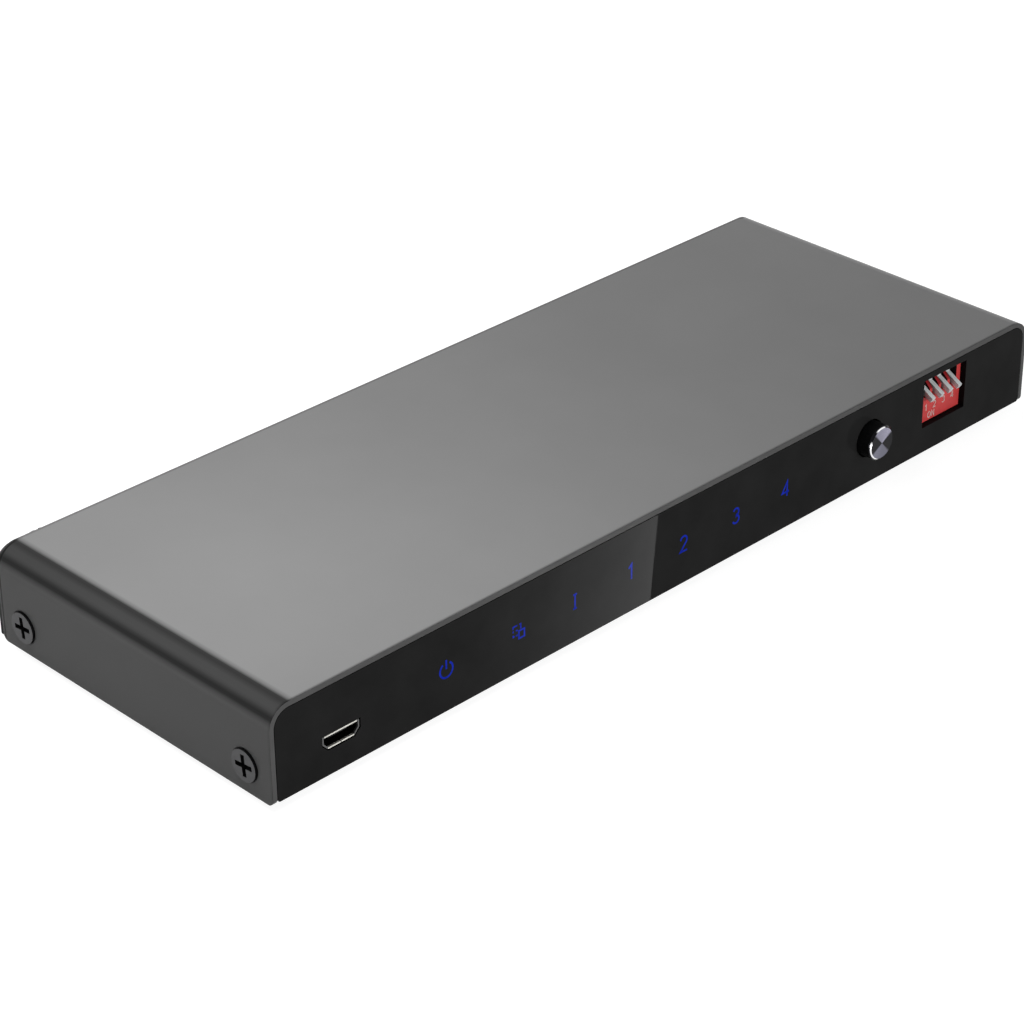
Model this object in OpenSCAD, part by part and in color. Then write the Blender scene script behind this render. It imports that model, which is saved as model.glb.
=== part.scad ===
// Video splitter: a flat metal case with one input and four outputs at the back, and a service
// socket, a row of indicator marks, a push button and a block of toggle levers at the front.
// Millimetres. +Z is up, the front faces -Y, and +X is to the right when facing the front.
// The origin is under the middle of the whole object, on the surface that it stands on.

/* [Case] */
// Width of the case
case_w = 185; // [182:1:220]
// Depth of the cover, from the front plane to its rear edge
case_d = 68; // [64:0.5:100]
// Height of the case above its feet
case_h = 17; // [16.6:0.1:24]
// Sheet thickness of the cover
cover_t = 0.9; // [0.6:0.05:1.2]
// Outside radius of the cover's two bends
bend_r = 4; // [3:0.1:6]
// Rounding of the cover's four lower corners
cover_corner_r = 1.2; // [0.4:0.1:2.5]
// How far the cover's sides reach down past the tray
cover_skirt = 0.45; // [0.1:0.05:0.9]
// Clearance between the cover and the pieces inside its edge
cover_gap = 0.12; // [0.05:0.01:0.3]
// Sheet thickness of the base tray
tray_t = 1; // [0.8:0.05:1.2]
// Clearance between the tray's front wall and the cover's top
wall_drop = 0.3; // [0.1:0.05:0.6]
// Height of the tray's side flanges above the case's bottom
side_flange_h = 8; // [7.5:0.1:11]
// Gap between the tray's side flanges and its rear flange
corner_relief = 0.6; // [0.3:0.1:1.5]
// Height of the tray's rear flange above the case's bottom
rear_flange_h = 3.9; // [2:0.1:4.2]

/* [Panels] */
// Thickness of the front panel
front_panel_t = 1.5; // [1.2:0.1:2.5]
// Thickness of the adhesive frame behind the front panel
tape_t = 0.2; // [0.1:0.05:0.4]
// Distance from the front panel's edge to the adhesive frame
tape_inset = 0.6; // [0.2:0.1:1]
// Rounding of the two panels' lower corners
panel_corner_r = 0.5; // [0.4:0.1:2]
// Thickness of the rear panel
rear_panel_t = 0.8; // [0.6:0.1:1.5]
// Distance from the cover's top down to the rear panel's top
rear_panel_drop = 0.65; // [0.2:0.05:1]
// Distance from the cover's side in to the rear panel's side
rear_panel_inset = 0.1; // [0.05:0.05:0.5]
// Clearance round what passes through a panel
panel_gap = 0.22; // [0.15:0.01:0.35]
// Extra clearance round the same things in the tray's front wall
wall_gap = 0.4; // [0.2:0.05:0.6]

/* [Side screws] */
// Radius of the countersink at the cover's outside
sink_r = 3; // [2.8:0.05:3.2]
// Clearance round a screw's head
sink_gap = 0.2; // [0.1:0.05:0.4]
// How far a screw's head stands out of the cover
head_rise = 0.4; // [0.1:0.05:0.8]
// Radius of a screw's thread
screw_r = 1.45; // [1.2:0.05:1.6]
// Clearance round a screw's thread
screw_gap = 0.05; // [0.02:0.01:0.15]
// Distance from the case's middle to a screw, along the depth
screw_spread = 27.85; // [20:0.05:28.5]
// Height of the screws above the case's bottom
screw_z = 4.5; // [3.9:0.1:4.6]
// Radius of the threaded bosses in the tray's side flanges
boss_r = 2.6; // [2:0.1:2.8]
// Length of those bosses
boss_l = 1.5; // [1:0.1:2]
// Width of the slots in a screw's cross recess
recess_w = 0.85; // [0.4:0.05:1]
// Length of the slots in a screw's cross recess
recess_l = 3.9; // [2.4:0.1:4]
// Depth of the cross recess
recess_d = 1; // [0.5:0.1:1.2]

/* [Feet] */
// Height of the feet
foot_h = 1.5; // [1:0.1:4]
// Radius of a foot
foot_r = 4.5; // [3:0.1:7]
// Distance from the case's edge to a foot's edge
foot_inset = 6; // [3:0.5:15]

/* [Board] */
// Height of the standoffs under the board
standoff_h = 2.15; // [1.8:0.05:2.6]
// Radius of a standoff
standoff_r = 2.5; // [2:0.1:3]
// Thickness of the board
board_t = 1.6; // [1.2:0.1:2]
// Clearance between the board and the case's walls and bosses
board_gap = 0.5; // [0.3:0.05:0.8]
// Radius of a board screw's thread
board_screw_r = 1.2; // [1:0.05:1.3]
// Radius of a board screw's head
board_head_r = 2.3; // [2:0.1:2.4]
// Height of a board screw's head
board_head_h = 1.4; // [1:0.1:2]
// Length of a board screw under its head
board_screw_l = 3.3; // [2.6:0.1:3.3]
// Radial clearance round a board screw
board_screw_gap = 0.1; // [0.05:0.01:0.2]

/* [Service socket] */
// Distance from the case's left end to the service socket's middle
usb_in = 14.1; // [12:0.1:22]
// Width of its shell
usb_w = 7.5; // [7:0.05:8.5]
// Height of its shell
usb_h = 2.5; // [2.3:0.05:3]
// Length of its shell
usb_l = 7.5; // [6:0.1:9]
// Sheet thickness of its shell
usb_wall = 0.25; // [0.15:0.05:0.35]
// Width of the shell's slanted lower corners
usb_slant_w = 1.05; // [0.6:0.05:1.2]
// Height of the shell's slanted lower corners
usb_slant_h = 1.1; // [0.7:0.05:1.3]
// Depth of its mouth behind the front plane
usb_recess = 0.1; // [0.05:0.05:0.6]
// Width of the seam along the shell's floor
usb_seam = 0.2; // [0.05:0.05:0.5]

/* [Indicator marks] */
// Place of the first mark, along the width from the case's middle
mark_first_x = -56.4; // [-60:0.1:-52]
// Distance from the first mark to the second
mark_first_step = 15.9; // [12:0.1:18]
// Distance between the other marks
mark_pitch = 13.07; // [9:0.01:13.2]
// Number of marks
mark_count = 7; // [2:1:7]
// Height of the marks above the case's bottom
mark_z = 7.7; // [7.2:0.1:9]
// Width and height of a light guide
guide_size = 4; // [3:0.1:4.4]
// Clearance round a light guide
guide_gap = 0.1; // [0.05:0.01:0.2]

/* [Push button] */
// Distance from the case's right end to the button's axis
button_in = 45; // [41:0.05:52]
// Height of the button's axis above the board
button_axis_h = 4.3; // [4.2:0.1:5.4]
// Radius of the button
button_r = 3.3; // [3:0.05:4]
// How far the button stands out of the front plane
button_out = 2.8; // [2:0.05:4]
// How far the button travels when it is pressed
button_travel = 1.5; // [0.5:0.1:1.8]
// Width of the button's bright chamfer
button_chamfer = 0.4; // [0.1:0.05:0.8]
// Clearance round the button in the panel
button_gap = 0.3; // [0.2:0.05:0.5]
// Radius of the switch's stem
stem_r = 1.5; // [1.2:0.05:1.8]
// Clearance round the switch's stem
stem_gap = 0.2; // [0.1:0.05:0.3]
// Length of the switch's housing
switch_l = 10; // [8:0.5:14]
// Width of the switch's housing
switch_w = 8.4; // [8:0.1:10]

/* [Toggle block] */
// Distance from the case's right end to the toggle block's middle
dip_in = 23.95; // [18:0.05:28]
// Width of the block
dip_w = 11.7; // [11.4:0.05:13]
// Clearance between the block and the cover's top
dip_top_gap = 1.6; // [0.8:0.05:1.6]
// Length of the block
dip_l = 6.2; // [5:0.1:8]
// Height of the nubs that the block stands on
dip_seat = 0.6; // [0.2:0.05:0.6]
// Depth of the block's face behind the front plane
dip_recess = 1.1; // [0.8:0.05:1.3]
// Distance between two levers
lever_pitch = 2.54; // [2.4:0.01:2.6]
// Width of a lever
lever_w = 0.95; // [0.9:0.05:1.3]
// Thickness of a lever
lever_t = 1; // [0.8:0.05:1.3]
// Length of a lever from its pivot to its tip
lever_l = 4.1; // [4:0.05:5.5]
// Angle of a lever below level, as it rests
lever_down = 30; // [20:1:34]
// Angle of a lever above level, when it is flipped up
lever_up = 24; // [15:1:26]
// Depth of the levers' pivot behind the block's face
pivot_depth = 2; // [1.6:0.05:2.4]
// Distance from the block's top down to the levers' pivot
pivot_drop = 2.15; // [2.1:0.05:3]
// Radius of a lever's pivot pins
pivot_r = 0.45; // [0.35:0.05:0.6]
// Running clearance round those pins
pivot_gap = 0.05; // [0.02:0.01:0.1]
// Clearance above and below a lever in its slot
slot_gap = 0.22; // [0.15:0.01:0.3]
// Clearance beside a lever in its slot
slot_side = 0.42; // [0.15:0.01:0.45]
// Height and depth of the slope on the ribs between the levers
rib_slope = 2.8; // [1:0.1:3]

/* [Video sockets] */
// Distance from the case's left end to the input socket's middle
input_in = 42.5; // [38:0.5:50]
// Distance from the case's right end to the last output socket's middle
output_in = 18.5; // [17.5:0.5:22]
// Distance between two output sockets
output_pitch = 28; // [24:0.5:30]
// Width of a socket's shell
hdmi_w = 15; // [14.5:0.1:16]
// Height of a socket's shell
hdmi_h = 5.6; // [5.3:0.1:6.2]
// Length of a socket's shell
hdmi_l = 11; // [9.5:0.1:13]
// Sheet thickness of a socket's shell
hdmi_wall = 0.45; // [0.3:0.05:0.55]
// Width of a shell's slanted lower corners
hdmi_slant_w = 1.7; // [1.2:0.1:2.2]
// Height of a shell's slanted lower corners
hdmi_slant_h = 2.2; // [1.6:0.1:2.6]
// Height of a shell above the board
hdmi_lift = 0.3; // [0.1:0.05:0.6]
// How far a shell stands out of the rear panel
hdmi_out = 0.5; // [0.1:0.05:1.5]

/* [Power jack] */
// Distance from the case's left end to the power jack's axis
jack_in = 12.1; // [11.5:0.1:18]
// Height of the jack's axis above the board
jack_axis_h = 4.4; // [3.9:0.1:5]
// Width of the jack's body
jack_w = 10; // [9.4:0.1:11]
// Length of the jack's body
jack_l = 12.8; // [11:0.1:16]
// Radius of the jack's bore
jack_bore_r = 3.2; // [2.9:0.05:3.3]
// Depth of the bore in the jack's body
jack_bore_d = 7; // [5:0.1:9]
// Radius of the jack's centre pin
jack_pin_r = 1.05; // [0.6:0.05:1.3]
// Outside radius of the threaded collar
collar_r = 4.4; // [4.2:0.05:4.6]
// How far the collar stands out of the rear panel
collar_out = 5; // [3.5:0.1:7]
// Pitch of the collar's thread ridges
ridge_pitch = 0.9; // [0.6:0.05:1.2]
// Depth of the collar's thread ridges
ridge_d = 0.35; // [0.2:0.05:0.45]
// Width of the key slot along the collar's top
key_w = 1.1; // [1:0.1:2]
// Depth of the key slot
key_d = 0.7; // [0.3:0.05:0.8]
// Width of the collar's nut across its flats
nut_across = 11; // [10.5:0.1:13]
// Thickness of the collar's nut
nut_t = 2; // [1.5:0.1:3]

/* [Chips] */
// Width of the splitter chip
chip_w = 14; // [10:0.5:18]
// Height of the splitter chip
chip_h = 1.2; // [0.8:0.1:1.6]
// Thickness of the thermal pad on it
pad_t = 0.8; // [0.4:0.1:1.2]
// Width of the heat sink, left to right
heat_w = 44; // [24:1:50]
// Depth of the heat sink, front to back
heat_d = 24; // [18:1:28]
// Height of the heat sink
heat_h = 7.5; // [4:0.1:7.8]
// Thickness of the heat sink's base
heat_base = 2; // [1:0.1:3]
// Number of fins
fin_count = 11; // [3:1:13]
// Thickness of a fin
fin_t = 1.4; // [0.8:0.1:1.6]

/* [Hidden] */
$fn = 64;
output_count = 4;
lever_count = 4;
SOCKET_NODES = [
    for (n = [1:output_count], piece = ["shell", "insulator", "contacts"])
    str("hdmi_output_", n, "_", piece)
];
LEVER_NODES = [for (n = [1:lever_count]) str("dip_lever_", n)];

// How far each cut runs past what it cuts
past = 0.5;

// Places along the depth. The origin halves the length from the button's face to the collar's end.
front_y = (button_out - case_d - rear_panel_t - collar_out) / 2;
rear_y = front_y + case_d;
rear_face_y = rear_y + rear_panel_t;
middle_y = front_y + case_d / 2;
wall_y = front_y + front_panel_t + tape_t;
wall_back_y = wall_y + tray_t;
board_front_y = wall_back_y + board_gap;
board_back_y = rear_y - tray_t - board_gap;

// Heights
case_z = foot_h;
floor_z = case_z + tray_t;
board_z = floor_z + standoff_h;
board_top = board_z + board_t;
mark_mid_z = case_z + mark_z;
button_z = board_top + button_axis_h;
jack_z = board_top + jack_axis_h;
dip_z = board_top + dip_seat;
dip_h = case_z + case_h - cover_t - dip_top_gap - dip_z;
pivot_z = dip_z + dip_h - pivot_drop;
hdmi_z = board_top + hdmi_lift;

// Places along the width, each from the end of the case that it stands nearest
usb_x = usb_in - case_w / 2;
jack_x = jack_in - case_w / 2;
input_x = input_in - case_w / 2;
button_x = case_w / 2 - button_in;
dip_x = case_w / 2 - dip_in;
last_output_x = case_w / 2 - output_in;

// Widths
inside_w = case_w - 2 * cover_t - 2 * cover_gap;
board_w = inside_w - 2 * tray_t - 2 * boss_l - 2 * board_gap;
screw_l = cover_t + cover_gap + tray_t + boss_l;

// The push switch, behind the button
cap_tail = 0.4;
cap_stop_gap = 0.4;
cap_back_y = wall_back_y + cap_tail;
switch_front_y = cap_back_y + button_travel + cap_stop_gap;
switch_back_y = switch_front_y + switch_l;
switch_wall = 1;
socket_depth = 3;
stem_front_y = cap_back_y - socket_depth;
flange_r = stem_r + 1.2;
flange_gap = 0.3;
cavity_r = flange_r + flange_gap;
switch_h = button_axis_h + cavity_r + 1.3;
flange_front_y = switch_front_y + switch_wall + 0.1;
flange_t = 1;
flange_back_y = flange_front_y + flange_t;
guide_pin_r = 0.9;
guide_pin_l = 2.4;
back_t = 1;
switch_pin = [0.6, 0.4, 4];
switch_pin_pitch = 2.5;
spring_wire_r = 0.22;
spring_r = stem_r + 0.4;
spring_turns = 6;
spring_seat_gap = 0.05;

// The toggle levers
pivot_y = front_y + dip_recess + pivot_depth;
hub_rim = 0.25;
hub_r = lever_t / 2 + hub_rim;
lever_slot_w = lever_w + 2 * slot_side;
slot_low = pivot_depth * tan(lever_down) + lever_t / 2 / cos(lever_down) + slot_gap;
slot_high = pivot_depth * tan(lever_up) + lever_t / 2 / cos(lever_up) + slot_gap;
slot_depth = pivot_depth + hub_r + slot_gap;
pin_part = 0.1;
pin_half = lever_pitch / 2 - pin_part;
pin_end_gap = 0.05;
dip_pin_t = 0.4;

// The contacts of the sockets
contact_gap = 0.04;
hdmi_pin_w = 0.4;
hdmi_pin_t = 0.14;
hdmi_pin_pitch = 1;
tongue_w = 10.8;
tongue_t = 1.3;
tongue_low = hdmi_h / 2 - tongue_t / 2;
tongue_recess = 1.4;
insulator_gap = 0.08;
hdmi_block_l = 4.4;
hdmi_mouth_y = rear_face_y + hdmi_out;
hdmi_end_y = hdmi_mouth_y - hdmi_l;
hdmi_block_out = 0.6;
hdmi_block_y = hdmi_end_y - hdmi_block_out;
usb_pin_w = 0.3;
usb_pin_t = 0.12;
usb_pin_pitch = 0.65;
usb_tongue_w = 3.8;
usb_tongue_t = 0.6;
usb_tongue_drop = 0.35;
usb_tongue_low = usb_h - usb_wall - usb_tongue_drop - usb_tongue_t;
usb_tongue_recess = 0.8;
pin_tip_gap = 0.4;
usb_block_l = 2.4;
usb_block_out = 0.5;
usb_mouth_y = front_y + usb_recess;
usb_end_y = usb_mouth_y + usb_l;

// Board screws, clear of the sockets, the jack and the switches
screw_clear = 7;
screw_places = [
    [usb_x + usb_w / 2 + screw_clear, board_front_y + screw_clear],
    [button_x - switch_w / 2 - screw_clear, board_front_y + screw_clear],
    [min(dip_x + dip_w / 2 + screw_clear, board_w / 2 - 4), board_front_y + screw_clear + 2],
    [(jack_x + jack_w / 2 + input_x - hdmi_w / 2) / 2, board_back_y - screw_clear],
    [(input_x + output_x(1)) / 2, board_back_y - screw_clear],
    [(last_output_x + hdmi_w / 2 + board_w / 2) / 2, board_back_y - screw_clear - 2]
];

// Places of the other parts on the board
heat_x = output_x(1) + 1.2 * output_pitch;
heat_y = middle_y + 1;
chip_row_y = hdmi_block_y - 7;
control_y = middle_y - 10;
output_chip = [6, 6, 0.9];
control_chip_size = [9, 9, 1];
crystal_size = [4.5, 11, 3.4];
inductor_size = [7, 7, 3.2];
inductor_pitch = 10;
capacitor_r = 3.15;
capacitor_h = 7.7;
capacitor_pitch = 9;

// The light guides, from just behind the panel to just past the bar that holds them
holder_y = board_front_y + 0.2;
holder_t = 2;
holder_rim = 1.2;
guide_front_y = front_y + front_panel_t + 0.05;
guide_back_y = holder_y + holder_t + 0.2;
led_gap = 0.1;
led_size = [3, 1.2, 1.6];

// The power jack
jack_h = jack_axis_h + jack_bore_r + 1.4;
jack_pin_recess = 1;
leaf_size = [1.8, jack_bore_d - 1, 0.3];
leaf_gap = 0.35;

// Where each mark stands, and each lever, and each output
function mark_x(n) = mark_first_x + (n > 0 ? mark_first_step + (n - 1) * mark_pitch : 0);
function lever_x(n) = dip_x + (n - (lever_count + 1) / 2) * lever_pitch;
function output_x(n) = last_output_x - (output_count - n) * output_pitch;

// One end of a slanted-corner outline, moved in by a wall: the side's corner and the floor's corner
function slant_side(w, sw, sh, t) = [w / 2 - t, (t * norm([sw, sh]) + sh * (sw - t)) / sw];
function slant_floor(w, sw, sh, t) = [w / 2 - sw - t * (norm([sw, sh]) - sw) / sh, t];
function flip(p) = [-p[0], p[1]];

// Socket outline with slanted lower corners, moved in by t or, where t is below zero, out
module socket_outline(w, h, sw, sh, t) {
    side = slant_side(w, sw, sh, t);
    low = slant_floor(w, sw, sh, t);
    polygon([flip(low), low, side, [w / 2 - t, h - t], [t - w / 2, h - t], flip(side)]);
}

// Upright outline with rounded upper and lower corners
module case_outline(w, h, top_r, low_r) {
    translate([top_r - w / 2, 0]) square([w - 2 * top_r, h]);
    translate([low_r - w / 2, 0]) square([w - 2 * low_r, h - top_r]);
    translate([-w / 2, low_r]) square([w, h - top_r - low_r]);
    for (side = [-1, 1]) {
        translate([side * (w / 2 - top_r), h - top_r]) circle(top_r);
        if (low_r > 0) translate([side * (w / 2 - low_r), low_r]) circle(low_r);
    }
}

// Stands an outline up across the depth, from y to y + length
module along_depth(y, length) {
    translate([0, y + length, 0]) rotate([90, 0, 0]) linear_extrude(length) children();
}

// A round bar along the depth
module bar_along_depth(x, y, z, r, length) {
    translate([x, y, z]) rotate([-90, 0, 0]) cylinder(r = r, h = length);
}

// A block whose middle is at x, with its lower front edge at y and z
module block(x, y, z, size) {
    translate([x - size[0] / 2, y, z]) cube(size);
}

// A block that stands on the board, centred at x and y
module on_board(x, y, size) {
    translate([x - size[0] / 2, y - size[1] / 2, board_top]) cube(size);
}

// At each side screw, with Z into the case and Y to the rear
module at_side_screws() {
    for (side = [-1, 1], end = [-1, 1])
        translate([side * case_w / 2, middle_y + end * screw_spread, case_z + screw_z])
            rotate([0, -side * 90, 0]) children();
}

// Tapered head and thread of each side screw, or the hole for them, which starts outside the cover
module side_screws(head_r, thread_r, length, over) {
    at_side_screws() {
        translate([0, 0, -over])
            cylinder(r1 = head_r + over, r2 = thread_r, h = head_r + over - thread_r);
        cylinder(r = thread_r, h = length);
    }
}

// What passes through the front panel, with a clearance all round
module front_openings(gap, y, length, open_top) {
    along_depth(y, length)
        translate([usb_x, board_top])
            socket_outline(usb_w, usb_h, usb_slant_w, usb_slant_h, -gap);
    bar_along_depth(button_x, y, button_z, button_r + button_gap - panel_gap + gap, length);
    block(dip_x, y, dip_z - gap, [dip_w + 2 * gap, length, dip_h + 2 * gap + (open_top ? case_h : 0)]);
}

// The windows of the light guides, with a clearance all round
module guide_windows(gap, y, length) {
    for (n = [0:mark_count - 1])
        block(mark_x(n), y, mark_mid_z - guide_size / 2 - gap,
            [guide_size + 2 * gap, length, guide_size + 2 * gap]);
}

// One row of contacts: a flat bar each, with a leg down to the board at the bar's rear end
module contact_row(x, count, pitch, w, t, tip_y, leg_y, z) {
    low_y = min(tip_y, leg_y);
    for (n = [0:count - 1]) {
        at_x = x + (n - (count - 1) / 2) * pitch;
        block(at_x, low_y, z, [w, abs(tip_y - leg_y), t]);
        block(at_x, leg_y - t / 2, board_top, [w, t, z - board_top + t]);
    }
}

module top_cover() {
    low_z = case_z - cover_skirt;
    color([0.33, 0.34, 0.36])
    difference() {
        along_depth(front_y, case_d)
            translate([0, low_z])
                difference() {
                    case_outline(case_w, case_h + cover_skirt, bend_r, 0);
                    translate([0, -past])
                        case_outline(case_w - 2 * cover_t, case_h + cover_skirt - cover_t + past,
                            bend_r - cover_t, 0);
                }
        side_screws(sink_r, screw_r + screw_gap, sink_r, past);
        for (end = [-1, 1])
            difference() {
                translate([-case_w / 2 - past, middle_y + end * case_d / 2, low_z])
                    rotate([0, 90, 0]) cylinder(r = cover_corner_r, h = case_w + 2 * past, $fn = 4);
                translate([-case_w / 2 - 2 * past, middle_y + end * (case_d / 2 - cover_corner_r),
                    low_z + cover_corner_r])
                    rotate([0, 90, 0]) cylinder(r = cover_corner_r, h = case_w + 4 * past);
            }
    }
}

module base_tray() {
    wall_h = case_h - cover_t - wall_drop;
    color([0.12, 0.12, 0.13])
    difference() {
        union() {
            block(0, wall_y, case_z, [inside_w, rear_y - wall_y, tray_t]);
            along_depth(wall_y, tray_t)
                translate([0, case_z]) case_outline(inside_w, wall_h, bend_r - cover_t, 0);
            block(0, rear_y - tray_t, case_z, [inside_w - 2 * tray_t, tray_t, rear_flange_h]);
            for (side = [-1, 1]) {
                block(side * (inside_w - tray_t) / 2, wall_y, case_z,
                    [tray_t, rear_y - wall_y - tray_t - corner_relief, side_flange_h]);
                for (end = [-1, 1])
                    translate([side * (inside_w / 2 - tray_t - boss_l), middle_y + end * screw_spread,
                        case_z + screw_z])
                        rotate([0, side * 90, 0]) cylinder(r = boss_r, h = boss_l + tray_t / 2);
            }
        }
        side_screws(sink_r, screw_r + screw_gap, screw_l + past, past);
        front_openings(panel_gap + wall_gap, wall_y - past, tray_t + 2 * past, true);
        guide_windows(wall_gap, wall_y - past, tray_t + 2 * past);
    }
}

module front_panel() {
    color([0.03, 0.03, 0.03])
    difference() {
        along_depth(front_y, front_panel_t)
            translate([0, case_z])
                case_outline(inside_w, case_h - cover_t - cover_gap, bend_r - cover_t - cover_gap,
                    panel_corner_r);
        front_openings(panel_gap, front_y - past, front_panel_t + 2 * past, false);
    }
}

module panel_tape() {
    color([0.2, 0.2, 0.2])
    difference() {
        along_depth(wall_y - tape_t, tape_t)
            translate([0, case_z + tape_inset])
                case_outline(inside_w - 2 * tape_inset, case_h - cover_t - wall_drop - 2 * tape_inset,
                    bend_r - cover_t - tape_inset, 0);
        front_openings(panel_gap + wall_gap, wall_y - tape_t - past, tape_t + 2 * past, true);
        guide_windows(wall_gap, wall_y - tape_t - past, tape_t + 2 * past);
    }
}

module rear_panel() {
    color([0.1, 0.1, 0.11])
    difference() {
        along_depth(rear_y, rear_panel_t)
            translate([0, case_z])
                case_outline(case_w - 2 * rear_panel_inset, case_h - rear_panel_drop, bend_r,
                    panel_corner_r);
        for (x = concat([input_x], [for (n = [1:output_count]) output_x(n)]))
            along_depth(rear_y - past, rear_panel_t + 2 * past)
                translate([x, hdmi_z])
                    socket_outline(hdmi_w, hdmi_h, hdmi_slant_w, hdmi_slant_h, -panel_gap);
        bar_along_depth(jack_x, rear_y - past, jack_z, collar_r + panel_gap, rear_panel_t + 2 * past);
    }
}

module cover_screws() {
    head_r = sink_r - sink_gap;
    recess_turn = 6;
    color([0.25, 0.25, 0.26])
    difference() {
        union() {
            side_screws(head_r, screw_r, screw_l, 0);
            at_side_screws() translate([0, 0, -head_rise]) cylinder(r = head_r, h = head_rise);
        }
        at_side_screws()
            translate([0, 0, -head_rise])
                for (turn = [0, 90])
                    rotate([0, 0, turn - recess_turn])
                        cube([recess_w, recess_l, 2 * recess_d], center = true);
    }
}

module rubber_feet() {
    in_from_edge = foot_inset + foot_r;
    color([0.05, 0.05, 0.05])
    for (side = [-1, 1], end = [-1, 1])
        translate([side * (case_w / 2 - in_from_edge), middle_y + end * (case_d / 2 - in_from_edge), 0])
            cylinder(r = foot_r, h = foot_h);
}

module main_board() {
    color([0.05, 0.25, 0.15])
    difference() {
        block(0, board_front_y, board_z, [board_w, board_back_y - board_front_y, board_t]);
        for (p = screw_places)
            translate([p[0], p[1], board_z - past])
                cylinder(r = board_screw_r + board_screw_gap, h = board_t + 2 * past);
    }
}

module board_standoffs() {
    color([0.75, 0.72, 0.6])
    for (p = screw_places)
        translate([p[0], p[1], floor_z])
            difference() {
                cylinder(r = standoff_r, h = standoff_h);
                translate([0, 0, -past])
                    cylinder(r = board_screw_r + board_screw_gap, h = standoff_h + 2 * past);
            }
}

module board_screws() {
    color([0.7, 0.7, 0.7])
    for (p = screw_places)
        translate([p[0], p[1], board_top]) {
            cylinder(r = board_head_r, h = board_head_h);
            translate([0, 0, -board_screw_l])
                cylinder(r = board_screw_r, h = board_screw_l + board_head_h / 2);
        }
}

module hdmi_shell(x) {
    leg = [1, 0.6, hdmi_lift + hdmi_wall / 2];
    color([0.75, 0.75, 0.76]) {
        along_depth(hdmi_end_y, hdmi_l)
            translate([x, hdmi_z])
                difference() {
                    socket_outline(hdmi_w, hdmi_h, hdmi_slant_w, hdmi_slant_h, 0);
                    socket_outline(hdmi_w, hdmi_h, hdmi_slant_w, hdmi_slant_h, hdmi_wall);
                }
        for (side = [-1, 1], y = [hdmi_end_y + 1, board_back_y - 2])
            block(x + side * (hdmi_w / 2 - hdmi_slant_w - 1.5), y, board_top, leg);
    }
}

module hdmi_insulator(x) {
    slot_t = hdmi_pin_t + contact_gap;
    color([0.06, 0.06, 0.06])
    difference() {
        union() {
            along_depth(hdmi_block_y, hdmi_block_l)
                translate([x, hdmi_z])
                    socket_outline(hdmi_w, hdmi_h, hdmi_slant_w, hdmi_slant_h, hdmi_wall + insulator_gap);
            block(x, hdmi_block_y, hdmi_z + tongue_low,
                [tongue_w, hdmi_mouth_y - tongue_recess - hdmi_block_y, tongue_t]);
        }
        for (z = [tongue_low - slot_t, tongue_low + tongue_t])
            block(x, hdmi_block_y - past, hdmi_z + z, [tongue_w, hdmi_block_l + 2 * past, slot_t]);
    }
}

module hdmi_contacts(x) {
    tip_y = hdmi_mouth_y - tongue_recess - pin_tip_gap;
    leg_y = hdmi_block_y - hdmi_pin_t;
    color([0.85, 0.7, 0.35]) {
        contact_row(x, 10, hdmi_pin_pitch, hdmi_pin_w, hdmi_pin_t, tip_y, leg_y,
            hdmi_z + tongue_low + tongue_t);
        contact_row(x, 9, hdmi_pin_pitch, hdmi_pin_w, hdmi_pin_t, tip_y, leg_y,
            hdmi_z + tongue_low - hdmi_pin_t);
    }
}

module power_jack_body() {
    color([0.05, 0.05, 0.05])
    difference() {
        block(jack_x, rear_y - jack_l, board_top, [jack_w, jack_l, jack_h]);
        bar_along_depth(jack_x, rear_y - jack_bore_d, jack_z, jack_bore_r, jack_bore_d + past);
    }
}

module power_jack_pin() {
    color([0.8, 0.78, 0.7])
    bar_along_depth(jack_x, rear_y - jack_bore_d, jack_z, jack_pin_r,
        jack_bore_d + rear_panel_t + collar_out - jack_pin_recess);
}

module power_jack_spring() {
    color([0.8, 0.75, 0.6])
    block(jack_x, rear_y - jack_bore_d, jack_z - jack_bore_r + leaf_gap, leaf_size);
}

module power_jack_collar() {
    length = rear_panel_t + collar_out;
    ridges = floor((collar_out - 0.4) / ridge_pitch);
    first = length - ridges * ridge_pitch - 0.3;
    edge = [
        for (n = [0:ridges - 1], step = [0, 1])
        [collar_r - (step == 0 ? ridge_d : 0), first + (n + step / 2) * ridge_pitch]
    ];
    color([0.7, 0.7, 0.7])
    difference() {
        translate([jack_x, rear_y, jack_z])
            rotate([-90, 0, 0])
                rotate_extrude()
                    polygon(concat(
                        [[jack_bore_r, 0], [collar_r - ridge_d, 0]],
                        edge,
                        [[collar_r - ridge_d, length], [jack_bore_r, length]]
                    ));
        block(jack_x, rear_face_y + nut_t, jack_z + collar_r - key_d, [key_w, length, key_d + past]);
    }
}

module power_jack_nut() {
    color([0.72, 0.72, 0.72])
    translate([jack_x, rear_face_y, jack_z])
        rotate([-90, 0, 0])
            difference() {
                cylinder(r = nut_across / sqrt(3), h = nut_t, $fn = 6);
                translate([0, 0, -past]) cylinder(r = collar_r + screw_gap, h = nut_t + 2 * past);
            }
}

module usb_shell() {
    color([0.78, 0.78, 0.78])
    along_depth(usb_mouth_y, usb_l)
        translate([usb_x, board_top])
            difference() {
                socket_outline(usb_w, usb_h, usb_slant_w, usb_slant_h, 0);
                socket_outline(usb_w, usb_h, usb_slant_w, usb_slant_h, usb_wall);
                translate([-usb_seam / 2, -past]) square([usb_seam, usb_wall + 2 * past]);
            }
}

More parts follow.
